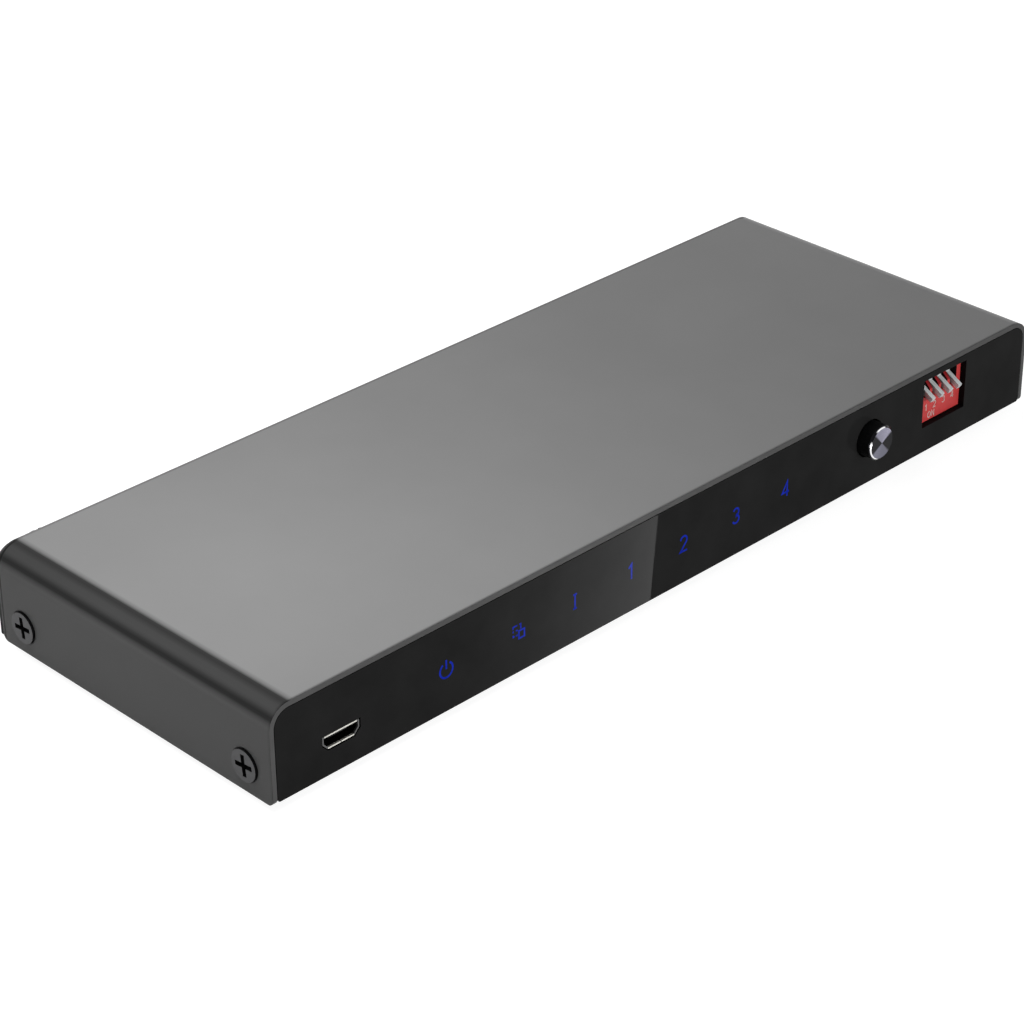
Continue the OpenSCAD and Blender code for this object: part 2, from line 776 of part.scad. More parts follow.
module usb_insulator() {
    slot_t = usb_pin_t + contact_gap;
    color([0.05, 0.05, 0.05])
    difference() {
        union() {
            along_depth(usb_end_y - usb_block_l, usb_block_l + usb_block_out)
                translate([usb_x, board_top])
                    socket_outline(usb_w, usb_h, usb_slant_w, usb_slant_h, usb_wall + contact_gap);
            block(usb_x, usb_mouth_y + usb_tongue_recess, board_top + usb_tongue_low,
                [usb_tongue_w, usb_l - usb_tongue_recess, usb_tongue_t]);
        }
        block(usb_x, usb_end_y - usb_block_l - past, board_top + usb_tongue_low - slot_t,
            [usb_tongue_w, usb_block_l + usb_block_out + 2 * past, slot_t]);
    }
}

module usb_contacts() {
    color([0.85, 0.7, 0.35])
    contact_row(usb_x, 5, usb_pin_pitch, usb_pin_w, usb_pin_t,
        usb_mouth_y + usb_tongue_recess + pin_tip_gap,
        usb_end_y + usb_block_out + usb_pin_t,
        board_top + usb_tongue_low - usb_pin_t);
}

module dip_body() {
    face_y = front_y + dip_recess;
    bore_l = (lever_count - 1) * lever_pitch + 2 * (pin_half + pin_end_gap);
    nub = [1, dip_l - (board_front_y - face_y) - 1, dip_seat + 0.2];
    top_z = dip_z + dip_h;
    ribs_w = (lever_count - 1) * lever_pitch + lever_slot_w;
    color([0.72, 0.14, 0.15])
    difference() {
        union() {
            block(dip_x, face_y, dip_z, [dip_w, dip_l, dip_h]);
            for (side = [-1, 1])
                block(dip_x + side * (dip_w / 2 - 1), board_front_y + 0.5, board_top, nub);
        }
        for (n = [1:lever_count])
            block(lever_x(n), face_y - past, pivot_z - slot_low,
                [lever_slot_w, slot_depth + past, slot_low + slot_high]);
        translate([dip_x - ribs_w / 2, face_y, top_z])
            rotate([90, 0, 90])
                linear_extrude(ribs_w)
                    polygon([[-past, -rib_slope - past], [rib_slope + past, past], [-past, past]]);
        translate([dip_x - bore_l / 2, pivot_y, pivot_z])
            rotate([0, 90, 0]) cylinder(r = pivot_r + pivot_gap, h = bore_l);
    }
}

module dip_lever(n) {
    color([0.86, 0.87, 0.86])
    translate([lever_x(n), pivot_y, pivot_z])
        rotate([lever_down, 0, 0]) {
            block(0, -lever_l, -lever_t / 2, [lever_w, lever_l, lever_t]);
            rotate([0, 90, 0]) cylinder(r = hub_r, h = lever_w, center = true);
            rotate([0, 90, 0]) cylinder(r = pivot_r, h = 2 * pin_half, center = true);
        }
}

module dip_pins() {
    back_y = front_y + dip_recess + dip_l;
    color([0.8, 0.8, 0.78])
    for (n = [1:lever_count], row = [0, 1]) {
        reach = 1 + 1.6 * row;
        z = dip_z + 1 + 2.5 * row;
        block(lever_x(n), back_y, z, [dip_pin_t, reach, dip_pin_t]);
        block(lever_x(n), back_y + reach - dip_pin_t, board_top,
            [dip_pin_t, dip_pin_t, z - board_top + dip_pin_t]);
    }
}

module button_cap() {
    length = cap_back_y - front_y + button_out;
    color([0.1, 0.1, 0.11])
    translate([button_x, front_y - button_out, button_z])
        rotate([-90, 0, 0])
            difference() {
                union() {
                    translate([0, 0, button_chamfer]) cylinder(r = button_r, h = length - button_chamfer);
                    cylinder(r1 = button_r - button_chamfer, r2 = button_r, h = button_chamfer);
                }
                translate([0, 0, length - socket_depth])
                    cylinder(r = stem_r + screw_gap, h = socket_depth + past);
            }
}

module switch_plunger() {
    color([0.9, 0.9, 0.88]) {
        bar_along_depth(button_x, stem_front_y, button_z, stem_r, flange_back_y - stem_front_y);
        bar_along_depth(button_x, flange_front_y, button_z, flange_r, flange_t);
        bar_along_depth(button_x, flange_front_y, button_z, guide_pin_r, flange_t + guide_pin_l);
    }
}

// A coil round the depth axis, swept as one closed tube
module button_spring() {
    sides = 6;
    steps = 8;
    start_y = flange_back_y + spring_seat_gap + spring_wire_r;
    rise = switch_back_y - spring_seat_gap - spring_wire_r - start_y;
    rings = spring_turns * steps;
    points = [
        for (k = [0:rings], s = [0:sides - 1])
        let (turn = 360 * k / steps, lean = 360 * s / sides, r = spring_r + spring_wire_r * cos(lean))
        [
            button_x + r * cos(turn),
            start_y + rise * k / rings + spring_wire_r * sin(lean),
            button_z + r * sin(turn)
        ]
    ];
    walls = [
        for (k = [0:rings - 1], s = [0:sides - 1], half = [0, 1])
        let (a = k * sides + s, b = k * sides + (s + 1) % sides)
        half == 0 ? [a, a + sides, b] : [b, a + sides, b + sides]
    ];
    ends = [[for (s = [0:sides - 1]) s], [for (s = [sides - 1:-1:0]) rings * sides + s]];
    color([0.7, 0.7, 0.7]) polyhedron(points, concat(walls, ends));
}

module push_switch_body() {
    color([0.1, 0.1, 0.1])
    difference() {
        block(button_x, switch_front_y, board_top, [switch_w, switch_l, switch_h]);
        bar_along_depth(button_x, switch_front_y - past, button_z, stem_r + stem_gap,
            switch_wall + 2 * past);
        bar_along_depth(button_x, switch_front_y + switch_wall, button_z, cavity_r, switch_l);
    }
}

module push_switch_back() {
    color([0.2, 0.2, 0.2])
    block(button_x, switch_back_y, board_top, [switch_w, back_t, switch_h]);
}

module push_switch_pins() {
    color([0.8, 0.8, 0.78])
    for (n = [-1, 0, 1])
        block(button_x + n * switch_pin_pitch, switch_back_y + back_t, board_top, switch_pin);
}

module indicator_leds() {
    color([0.85, 0.88, 0.95])
    for (n = [0:mark_count - 1])
        block(mark_x(n), guide_back_y + led_gap, board_top, led_size);
}

module light_guides() {
    color([0.8, 0.85, 0.9])
    for (n = [0:mark_count - 1])
        block(mark_x(n), guide_front_y, mark_mid_z - guide_size / 2,
            [guide_size, guide_back_y - guide_front_y, guide_size]);
}

module light_holder() {
    low_x = mark_x(0) - guide_size / 2 - holder_rim;
    high_x = mark_x(mark_count - 1) + guide_size / 2 + holder_rim;
    color([0.08, 0.08, 0.08])
    difference() {
        translate([low_x, holder_y, board_top])
            cube([high_x - low_x, holder_t, mark_mid_z + guide_size / 2 + holder_rim - board_top]);
        guide_windows(guide_gap, holder_y - past, holder_t + 2 * past);
    }
}

module splitter_chip() {
    color([0.1, 0.1, 0.1]) on_board(heat_x, heat_y, [chip_w, chip_w, chip_h]);
}

module thermal_pad() {
    color([0.6, 0.65, 0.75])
    translate([0, 0, chip_h]) on_board(heat_x, heat_y, [chip_w, chip_w, pad_t]);
}

module heat_sink() {
    color([0.15, 0.15, 0.16])
    translate([0, 0, chip_h + pad_t]) {
        on_board(heat_x, heat_y, [heat_w, heat_d, heat_base]);
        for (n = [0:fin_count - 1])
            on_board(heat_x - heat_w / 2 + fin_t / 2 + n * (heat_w - fin_t) / (fin_count - 1), heat_y,
                [fin_t, heat_d, heat_h]);
    }
}

module output_chips() {
    color([0.1, 0.1, 0.1])
    for (n = [1:output_count])
        on_board(output_x(n), chip_row_y, output_chip);
}

module control_chip() {
    color([0.1, 0.1, 0.1]) on_board(input_x + 10, control_y, control_chip_size);
}

module crystal() {
    color([0.78, 0.78, 0.76])
    on_board(input_x + 24, control_y, crystal_size);
}

module power_inductors() {
    color([0.2, 0.2, 0.2])
    for (n = [-1, 1])
        on_board(input_x - 12, middle_y + n * inductor_pitch / 2, inductor_size);
}

module bulk_capacitors() {
    color([0.7, 0.7, 0.72])
    for (n = [-1, 0, 1])
        translate([jack_x + 4, middle_y + n * capacitor_pitch, board_top])
            cylinder(r = capacitor_r, h = capacitor_h);
}

top_cover();
base_tray();
front_panel();
panel_tape();
rear_panel();
cover_screws();
rubber_feet();
main_board();
board_standoffs();
board_screws();
hdmi_shell(input_x);  // hdmi_input_shell
hdmi_insulator(input_x);  // hdmi_input_insulator
hdmi_contacts(input_x);  // hdmi_input_contacts
for (n = [1:output_count]) {
    hdmi_shell(output_x(n));
    hdmi_insulator(output_x(n));
    hdmi_contacts(output_x(n));
}
power_jack_body();
power_jack_pin();
power_jack_spring();
power_jack_collar();
power_jack_nut();
usb_shell();
usb_insulator();
usb_contacts();
dip_body();
for (n = [1:lever_count]) {
    dip_lever(n);
}
dip_pins();
button_cap();
switch_plunger();
button_spring();
push_switch_body();
push_switch_back();
push_switch_pins();
indicator_leds();
light_guides();
light_holder();
splitter_chip();
thermal_pad();
heat_sink();
output_chips();
control_chip();
crystal();
power_inductors();
bulk_capacitors();
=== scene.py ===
import math

import bmesh
import bpy
from mathutils import Matrix, Vector


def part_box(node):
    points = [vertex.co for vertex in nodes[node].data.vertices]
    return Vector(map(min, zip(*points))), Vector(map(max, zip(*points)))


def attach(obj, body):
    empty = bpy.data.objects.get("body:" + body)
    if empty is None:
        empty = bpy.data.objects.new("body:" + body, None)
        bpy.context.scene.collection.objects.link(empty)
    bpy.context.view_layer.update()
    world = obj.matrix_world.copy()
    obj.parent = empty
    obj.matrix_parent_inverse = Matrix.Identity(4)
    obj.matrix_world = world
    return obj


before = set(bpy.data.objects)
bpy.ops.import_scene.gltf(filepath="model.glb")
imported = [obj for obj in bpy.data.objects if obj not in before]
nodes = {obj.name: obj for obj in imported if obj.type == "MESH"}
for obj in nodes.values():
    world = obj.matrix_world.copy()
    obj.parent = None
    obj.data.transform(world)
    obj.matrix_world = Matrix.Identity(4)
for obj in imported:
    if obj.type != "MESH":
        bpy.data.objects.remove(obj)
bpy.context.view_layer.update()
scene = bpy.context.scene

MM = 0.001
WHITE = (1.0, 1.0, 1.0, 1.0)
UP = Vector((0.0, 0.0, 1.0))
FRONT = -1
REAR = 1
CHANNELS = (1, 2, 3, 4)

# Places on the frame, in mm
front_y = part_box("top_cover")[0].y / MM
rear_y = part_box("top_cover")[1].y / MM
case_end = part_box("top_cover")[1].x / MM
head_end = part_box("cover_screws")[1].x / MM
panel_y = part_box("front_panel")[0].y / MM
plate_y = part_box("rear_panel")[1].y / MM
block_low, block_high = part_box("dip_body")
block_x = (block_low.x + block_high.x) / 2 / MM
block_y = block_low.y / MM
guides_low, guides_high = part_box("light_guides")
marks_z = (guides_low.z + guides_high.z) / 2 / MM

# Painted shade on the cover's paint: each stop is a place along a run, in mm, and how light the paint is
# there
BEND_LEAD = 8.0  # the bends' run starts on the top, this far before its end, and goes down the side
BEND_RUN = 16.0
# Painted shade along the left bend: dark lines where it starts and ends, lighter between them
LEFT_BEND_SHADE = ((2.7, 1.0), (3.4, 0.68), (4.0, 0.1), (4.6, 0.085), (5.9, 0.245), (7.1, 0.31), (7.7, 0.29),
              (8.9, 0.1), (9.5, 0.13), (11.1, 0.93))
# Painted shade along the right bend: one dark band
RIGHT_BEND_SHADE = ((7.4, 1.0), (8.3, 0.45), (9.0, 0.12), (9.6, 0.14), (10.6, 0.63), (11.2, 0.95))
FRONT_RUN = 0.6
# Painted shade along the cover's front edge
FRONT_EDGE_SHADE = ((0.0, 0.3), (0.2, 0.42), (0.4, 0.75), (0.6, 1.0))
REAR_RUN = 1.0
# Painted shade along the top's rear edge, and a painted dark line of shade in the seam at the rear of the
# sides
REAR_EDGE_SHADE = ((0.35, 1.0), (0.6, 0.72), (1.0, 0.6))
SEAM_SHADE = ((0.2, 1.0), (0.3, 0.2), (0.6, 0.2), (0.72, 0.95))

# Where the painted shade changes over, in mm: to each side of the part's middle, and along the bends' run
SIDES_MEET = 1.0
FADE_START, FADE_END, FADE_SHARE = 5.0, 8.0, 0.8
SEAM_START, SEAM_END = 3.6, 4.4

# Gloss of the front panel, and the share of it that is left at a flat angle
PANEL_GLOSS = 0.008
FLAT_SHARE = 0.05

# How far the roughness of a plain surface varies either way
ROUGH_VARY = 0.07

# Painted highlight bands on the service socket's shell and painted shade inside it, in mm from its top,
# floor, sides and mouth
USB_TOP, USB_TOP_SIDE = (0.3, 0.24), (0.5, 0.4)
USB_FLOOR, USB_FLOOR_SIDE = (0.26, 0.32), (1.15, 1.05)
USB_MOUTH = (0.3, 0.45)

# The button: the angle of its painted highlight wedges from the right, in degrees, its rings and its rim's
# painted highlight in mm
HIGHLIGHT_ANGLE = 81.0
RING_WIDTH = 0.09
RIM_HIGHLIGHT = (0.19, 0.24)

# From where a normal counts as facing along an axis, as leaning, or as lying across it
FACING, LEANING, ACROSS = 0.9, 0.5, 0.3

# How near a face's middle lies to a plane or a screw head's end to count as on it, in mm
NEAR, SKIN = 0.05, 0.02

# The lit marks, in mm: where each is along the front, how tall it is and how wide its pen is
MARK_TALL, MARK_PEN = 2.9, 0.34
POWER_X, POWER_TALL = -56.22, 3.3
BAR_X, BAR_PEN = -27.33, 0.32
DIGITS_X = (-14.3, -1.2, 11.96, 24.83)
BROKEN_X, BROKEN_DROP, BROKEN_PEN = -40.63, 0.56, 0.26
WHOLE_X, WHOLE_DROP, WHOLE_PEN = -39.58, 1.33, 0.3
FRAME_UNIT = 1.0

# The printed digits and letters, in mm
SIGN_SUNK, SIGN_PROUD = 0.009, 0.021
BLOCK_PEN = 0.17
BLOCK_DIGIT_TALL, BLOCK_DIGIT_Z = 1.25, 9.0
BLOCK_WORD_TALL, BLOCK_WORD_Z = 1.2, 7.3
BLOCK_O_X, BLOCK_N_X = -2.7, -1.65
PORT_DIGIT_TALL, PORT_DIGIT_PEN, PORT_DIGIT_Z = 1.9, 0.24, 14.4

# The floor and the world: how much light they give to the part, and how bright they show
FLOOR_RADIUS = 3000.0
FLOOR_GREY, FLOOR_GLOW = 0.3, 0.92
WORLD_LIGHT, WORLD_SHOWN = 0.1, 1.0

# A light card on the floor that only mirrors show, in mm: its ends at the case's front, from which it leans
CARD_NEAR, CARD_FAR, CARD_LIFT = 0.5, 360.0, 0.3
CARD_LEFT, CARD_RIGHT = -70.0, -9.41
CARD_LEAN = 1.177
CARD_LEVEL, CARD_GROWTH = 19.0, 2.2

# The camera: degrees round the part, above it and about its own axis, and its lens and place in mm
CAMERA_TURN, CAMERA_RISE, CAMERA_ROLL = -44.315, 29.904, -0.539
CAMERA_LENS, CAMERA_SENSOR = 106.34, 36.0
CAMERA_EYE = (-327.82, -328.765, 267.53)
CAMERA_CLIP = 10.0


# Colours


def srgb(red, green, blue):
    """A screen colour of 0 to 255 as the linear colour that a shader takes."""
    out = []
    for level in (red, green, blue):
        share = level / 255.0
        out.append(share / 12.92 if share <= 0.04045 else ((share + 0.055) / 1.055) ** 2.4)
    return tuple(out) + (1.0,)


def grey(level):
    """A screen grey of 0 to 255."""
    return srgb(level, level, level)


def scaled(colour, factor):
    """A colour made lighter or darker."""
    return tuple(min(1.0, part * factor) for part in colour[:3]) + (1.0,)


# Node helpers


def plug(tree, value, socket):
    """Feeds a socket from another one, or sets it to a plain value."""
    if isinstance(value, bpy.types.NodeSocket):
        tree.links.new(value, socket)
    else:
        socket.default_value = value


def feed(tree, node, **inputs):
    """Feeds a node's inputs by their names."""
    for name, value in inputs.items():
        plug(tree, value, node.inputs[name.replace("_", " ")])


def add(tree, kind, settings=None, **inputs):
    """A node with its settings and its inputs."""
    node = tree.nodes.new(kind)
    for name, value in (settings or {}).items():
        setattr(node, name, value)
    feed(tree, node, **inputs)
    return node


def new_material(name, **inputs):
    """A node material with its tree and its shader."""
    made = bpy.data.materials.new(name)
    made.use_nodes = True
    tree = made.node_tree
    shader = tree.nodes["Principled BSDF"]
    feed(tree, shader, **inputs)
    return made, tree, shader


def sums(tree, operation, *values):
    """One step of arithmetic on sockets and numbers."""
    made = add(tree, "ShaderNodeMath", {"operation": operation})
    for value, socket in zip(values, made.inputs):
        plug(tree, value, socket)
    return made.outputs[0]


def mix(tree, way, factor, first, second):
    """Two colours put together by a factor; the numbers are the node's colour sockets."""
    made = add(tree, "ShaderNodeMix", {"data_type": "RGBA", "blend_type": way})
    for value, index in ((factor, 0), (first, 6), (second, 7)):
        plug(tree, value, made.inputs[index])
    return made.outputs[2]


def blend(tree, factor, first, second):
    """The first colour at 0, the second at 1, or something in between."""
    return mix(tree, "MIX", factor, first, second)


def multiply(tree, first, second):
    """Two colours multiplied."""
    return mix(tree, "MULTIPLY", 1.0, first, second)


def span(tree, value, low, high, start=0.3, end=0.7):
    """A value from start to end turned into one from low to high; noise mostly lies in 0.3 to 0.7."""
    made = add(tree, "ShaderNodeMapRange", {"clamp": True}, Value=value, From_Min=start, From_Max=end,
               To_Min=low, To_Max=high)
    return made.outputs["Result"]


def rise(tree, value, start, end):
    """0 up to start, 1 from end on."""
    return span(tree, value, 0.0, 1.0, start, end)


def fall(tree, value, start, end):
    """1 up to start, 0 from end on."""
    return span(tree, value, 1.0, 0.0, start, end)


def ramp(tree, factor, stops):
    """A colour, or a grey level, that follows a factor from 0 to 1 through its stops."""
    made = add(tree, "ShaderNodeValToRGB", Fac=factor)
    band = made.color_ramp
    while len(band.elements) < len(stops):
        band.elements.new(0.5)
    for element, (spot, level) in zip(band.elements, stops):
        element.position = spot
        element.color = level if isinstance(level, tuple) else (level, level, level, 1.0)
    return made.outputs["Color"]


def tones(tree, value, start, run, stops):
    """Grey levels along a value in metres, from a start in metres, through stops along a run in mm."""
    share = rise(tree, value, start, start + run * MM)
    return ramp(tree, share, [(spot / run, level) for spot, level in stops])


def place(tree, scale=(1.0, 1.0, 1.0)):
    """The object's own coordinates in metres, stretched."""
    coords = add(tree, "ShaderNodeTexCoord")
    return add(tree, "ShaderNodeMapping", Vector=coords.outputs["Object"], Scale=scale).outputs["Vector"]


def axes(tree, middle):
    """The object's own coordinates in metres, measured from a point, one by one."""
    coords = add(tree, "ShaderNodeTexCoord")
    away = add(tree, "ShaderNodeVectorMath", {"operation": "SUBTRACT"})
    plug(tree, coords.outputs["Object"], away.inputs[0])
    plug(tree, middle, away.inputs[1])
    split = add(tree, "ShaderNodeSeparateXYZ", Vector=away.outputs[0])
    return split.outputs["X"], split.outputs["Y"], split.outputs["Z"]


def noise(tree, size, detail=3.0, stretch=(1.0, 1.0, 1.0)):
    """Noise whose features are about that many mm wide."""
    made = add(tree, "ShaderNodeTexNoise", Vector=place(tree, stretch), Detail=detail,
               Scale=1.0 / (size * MM))
    return made.outputs["Fac"]


def uneven(tree, colour, vary, size, detail):
    """A colour that varies a little, in patches of that many mm."""
    patches = span(tree, noise(tree, size, detail), 0.0, 1.0)
    return blend(tree, patches, scaled(colour, 1.0 - vary), scaled(colour, 1.0 + vary))


def relief(tree, height, depth, under=None):
    """Normals of a fine relief, its depth in mm, on the normals under it."""
    made = add(tree, "ShaderNodeBump", Strength=1.0, Distance=depth * MM, Height=height)
    if under is not None:
        feed(tree, made, Normal=under)
    return made.outputs["Normal"]


def soft_edges(tree, radius):
    """Normals that turn round the edges, as on a worn or painted edge, with a radius in mm."""
    return add(tree, "ShaderNodeBevel", {"samples": 6}, Radius=radius * MM).outputs["Normal"]


# Materials


def surface(name, colour, rough, metal=0.0, specular=0.5, mottle=0.08, patch=6.0, grain=0.2, depth=0.004,
            edge=0.0):
    """A moulded, plated or painted surface: patches of tone, uneven gloss and a fine relief, in mm."""
    made, tree, shader = new_material(name, Metallic=metal, Specular_IOR_Level=specular)
    fine = noise(tree, grain, detail=2.0)
    under = soft_edges(tree, edge) if edge else None
    feed(tree, shader,
         Base_Color=uneven(tree, colour, mottle, patch, detail=4.0),
         Roughness=span(tree, fine, rough - ROUGH_VARY, rough + ROUGH_VARY),
         Normal=relief(tree, fine, depth, under))
    return made


def cover_paint():
    """Satin grey coat on bent sheet with fine stipple, and painted shade: darker lines along its bends and
    its ends.
    """
    made, tree, shader = new_material("cover_grey", Specular_IOR_Level=0.1)
    low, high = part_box("top_cover")
    x, y, z = axes(tree, (0.0, low.y, high.z))
    beside = sums(tree, "SUBTRACT", sums(tree, "ABSOLUTE", x), high.x - BEND_LEAD * MM)
    along = sums(tree, "SUBTRACT", beside, z)
    left = tones(tree, along, 0.0, BEND_RUN, LEFT_BEND_SHADE)
    right = tones(tree, along, 0.0, BEND_RUN, RIGHT_BEND_SHADE)
    bend_shade = blend(tree, rise(tree, x, -SIDES_MEET * MM, SIDES_MEET * MM), left, right)

    # The painted shade along the front fades on the sides, and along the rear it gives way there to a
    # painted dark line of shade in the seam
    fading = span(tree, along, 0.0, FADE_SHARE, FADE_START * MM, FADE_END * MM)
    front = blend(tree, fading, tones(tree, y, 0.0, FRONT_RUN, FRONT_EDGE_SHADE), WHITE)
    rear_start = high.y - low.y - REAR_RUN * MM
    top_end_shade = tones(tree, y, rear_start, REAR_RUN, REAR_EDGE_SHADE)
    side_seam_shade = tones(tree, y, rear_start, REAR_RUN, SEAM_SHADE)
    rear = blend(tree, rise(tree, along, SEAM_START * MM, SEAM_END * MM), top_end_shade, side_seam_shade)

    shaded_paint = uneven(tree, grey(131), vary=0.03, size=25.0, detail=3.0)
    # The grey paint is darkened by the painted shade of the bends and of both ends
    for shade in (bend_shade, front, rear):
        shaded_paint = multiply(tree, shaded_paint, shade)
    fine = noise(tree, size=0.14, detail=2.0)
    feed(tree, shader,
         Base_Color=shaded_paint,
         Roughness=span(tree, fine, low=0.36, high=0.5),
         Normal=relief(tree, fine, depth=0.003, under=soft_edges(tree, radius=0.18)))
    return made


def faint_gloss(tree):
    """A weak specular level that doesn't grow at a flat angle."""
    weight = add(tree, "ShaderNodeLayerWeight", Blend=0.5)
    return span(tree, weight.outputs["Facing"], low=PANEL_GLOSS, high=FLAT_SHARE * PANEL_GLOSS,
                start=0.45, end=0.75)


def gloss_panel():
    """Glossy black plastic with faint streaks from wiping."""
    made, tree, shader = new_material("panel_gloss")
    streaks = noise(tree, size=1.2, detail=4.0, stretch=(0.2, 1.0, 1.0))
    feed(tree, shader,
         Base_Color=uneven(tree, grey(42), vary=0.15, size=9.0, detail=3.0),
         Specular_IOR_Level=faint_gloss(tree),
         Roughness=span(tree, streaks, low=0.02, high=0.04),
         Normal=soft_edges(tree, radius=0.12))
    return made


def lit_mark():
    """Blue light through the panel, a little uneven along the mark."""
    made, tree, shader = new_material("mark_blue", Roughness=0.03, Emission_Strength=1.0)
    patches = span(tree, noise(tree, size=0.8, detail=2.0), 0.0, 1.0)
    feed(tree, shader,
         Base_Color=blend(tree, noise(tree, size=0.5), srgb(6, 8, 30), srgb(10, 12, 40)),
         Specular_IOR_Level=faint_gloss(tree),
         Emission_Color=blend(tree, patches, srgb(10, 30, 138), srgb(22, 44, 168)))
    return made


def board_paint():
    """Green solder mask with the lighter lines of the copper under it."""
    made, tree, shader = new_material("board_green")
    pitch = 3.2
    lines = add(tree, "ShaderNodeTexBrick", Vector=place(tree), Scale=1.0 / (pitch * MM), Mortar_Size=0.06)
    feed(tree, shader,
         Base_Color=blend(tree, lines.outputs["Fac"], srgb(16, 66, 40), srgb(44, 112, 66)),
         Roughness=span(tree, noise(tree, size=0.4), low=0.28, high=0.42),
         Normal=relief(tree, lines.outputs["Fac"], depth=0.02))
    return made


def button_axes(tree):
    """The distance from the button's axis in metres, and the angle round it in radians."""
    low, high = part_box("button_cap")
    x, _, z = axes(tree, (low + high) / 2)
    square = sums(tree, "ADD", sums(tree, "MULTIPLY", x, x), sums(tree, "MULTIPLY", z, z))
    return sums(tree, "SQRT", square), sums(tree, "ARCTAN2", z, x)


def spun_metal():
    """Turned metal with fine rings round the axis, and painted highlights in two opposite wedges, dark
    between them.
    """
    made, tree, shader = new_material("button_face", Metallic=0.7, Anisotropic=0.6, Specular_IOR_Level=0.1)
    reach, angle = button_axes(tree)
    rings = add(tree, "ShaderNodeTexNoise", {"noise_dimensions": "1D"}, W=reach,
                Scale=1.0 / (RING_WIDTH * MM), Detail=2.0).outputs["Fac"]
    off_wedge = sums(tree, "SUBTRACT", angle, math.radians(HIGHLIGHT_ANGLE))
    both_ways = sums(tree, "COSINE", sums(tree, "MULTIPLY", off_wedge, 2.0))
    wedge_highlight = rise(tree, both_ways, start=-0.35, end=0.0)
    # Painted highlight: light colours in the wedges, a dark one between them
    lower, upper, dark = srgb(116, 116, 130), srgb(148, 146, 163), srgb(24, 24, 27)
    light = blend(tree, rise(tree, angle, start=-0.4, end=0.4), lower, upper)
    grain = ramp(tree, rings, ((0.3, 0.8), (0.7, 1.0)))
    around = add(tree, "ShaderNodeTangent", {"direction_type": "RADIAL", "axis": "Y"})
    feed(tree, shader,
         Base_Color=multiply(tree, blend(tree, wedge_highlight, dark, light), grain),
         Roughness=span(tree, rings, low=0.3, high=0.4),
         Tangent=around.outputs["Tangent"],
         Normal=relief(tree, rings, depth=0.002))
    return made


def cut_rim():
    """The cut edge of the button, with painted highlights on two stretches, and painted dark reflection
    elsewhere and along its outer edge.
    """
    made, tree, shader = new_material("button_rim_highlights", Metallic=1.0)
    reach, angle = button_axes(tree)
    # Painted highlights on two stretches of the rim, painted dark reflection elsewhere
    dark, light = srgb(20, 20, 22), srgb(246, 246, 248)
    stretches = ((-117, light), (-108, dark), (72, dark), (79, light), (112, light), (122, dark),
                 (155, dark), (164, light))
    turned = rise(tree, angle, -math.pi, math.pi)
    tone = ramp(tree, turned, [(0.5 + degrees / 360.0, colour) for degrees, colour in stretches])
    low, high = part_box("button_cap")
    widest = (high.x - low.x) / 2
    inner = fall(tree, reach, widest - RIM_HIGHLIGHT[1] * MM, widest - RIM_HIGHLIGHT[0] * MM)
    feed(tree, shader,
         Base_Color=blend(tree, inner, dark, tone),
         Roughness=span(tree, noise(tree, size=0.3, detail=2.0), low=0.16, high=0.24))
    return made


def socket_shell():
    """The shell of the service socket, with painted highlights along its top and its floor at the mouth,
    and painted shade deeper inside.
    """
    made, tree, shader = new_material("usb_nickel", Metallic=0.6)
    low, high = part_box("usb_shell")
    half, tall = (high.x - low.x) / 2, high.z - low.z
    x, y, z = axes(tree, ((low.x + high.x) / 2, low.y, low.z))
    aside = sums(tree, "ABSOLUTE", x)
    top = sums(tree, "MULTIPLY", rise(tree, z, *[tall - down * MM for down in USB_TOP]),
               fall(tree, aside, *[half - inward * MM for inward in USB_TOP_SIDE]))
    bottom = sums(tree, "MULTIPLY", fall(tree, z, *[above * MM for above in USB_FLOOR]),
                  fall(tree, aside, *[half - inward * MM for inward in USB_FLOOR_SIDE]))
    mouth = fall(tree, y, *[inside * MM for inside in USB_MOUTH])
    # Painted highlights along the top and along the floor at the mouth, painted shade deeper inside
    highlight_bands = sums(tree, "MULTIPLY", sums(tree, "MAXIMUM", top, bottom), mouth)
    inside_shade = blend(tree, mouth, grey(10), grey(92))
    patches = span(tree, noise(tree, size=0.5, detail=2.0), 0.0, 1.0)
    metal = blend(tree, patches, srgb(214, 212, 204), srgb(236, 234, 226))
    feed(tree, shader,
         Base_Color=blend(tree, highlight_bands, inside_shade, metal),
         Roughness=span(tree, noise(tree, size=0.3, detail=2.0), low=0.3, high=0.4))
    return made


COVER = cover_paint()
PANEL = gloss_panel()
BOARD = board_paint()
SPUN = spun_metal()
BUTTON_RIM_HIGHLIGHTS = cut_rim()
MARK = lit_mark()
USB_SHELL = socket_shell()

# The case
COVER_EDGE = surface("cover_edge", grey(104), rough=0.5, specular=0.004, mottle=0.06, patch=4.0, edge=0.12)
# Partly painted shade: the panel's cut edges and the walls of its openings are the same black plastic as
# its face, made darker and duller as shade in the openings
PANEL_EDGE_SHADE = surface("panel_edge", srgb(9, 9, 10), rough=0.6, specular=0.05, mottle=0.2, patch=2.0)
SHEET_FINISH = {"specular": 0.25, "mottle": 0.1, "grain": 0.16, "depth": 0.006, "edge": 0.15}
TRAY = surface("tray_black", srgb(34, 34, 36), rough=0.5, **SHEET_FINISH)
REAR_PLATE = surface("rear_black", srgb(38, 38, 40), rough=0.46, **SHEET_FINISH)
TAPE = surface("tape_grey", srgb(120, 120, 118), rough=0.8, specular=0.2, grain=0.3)
SCREW = surface("screw_grey", srgb(126, 126, 128), rough=0.42, specular=0.2, mottle=0.06, patch=1.0,
                edge=0.06)
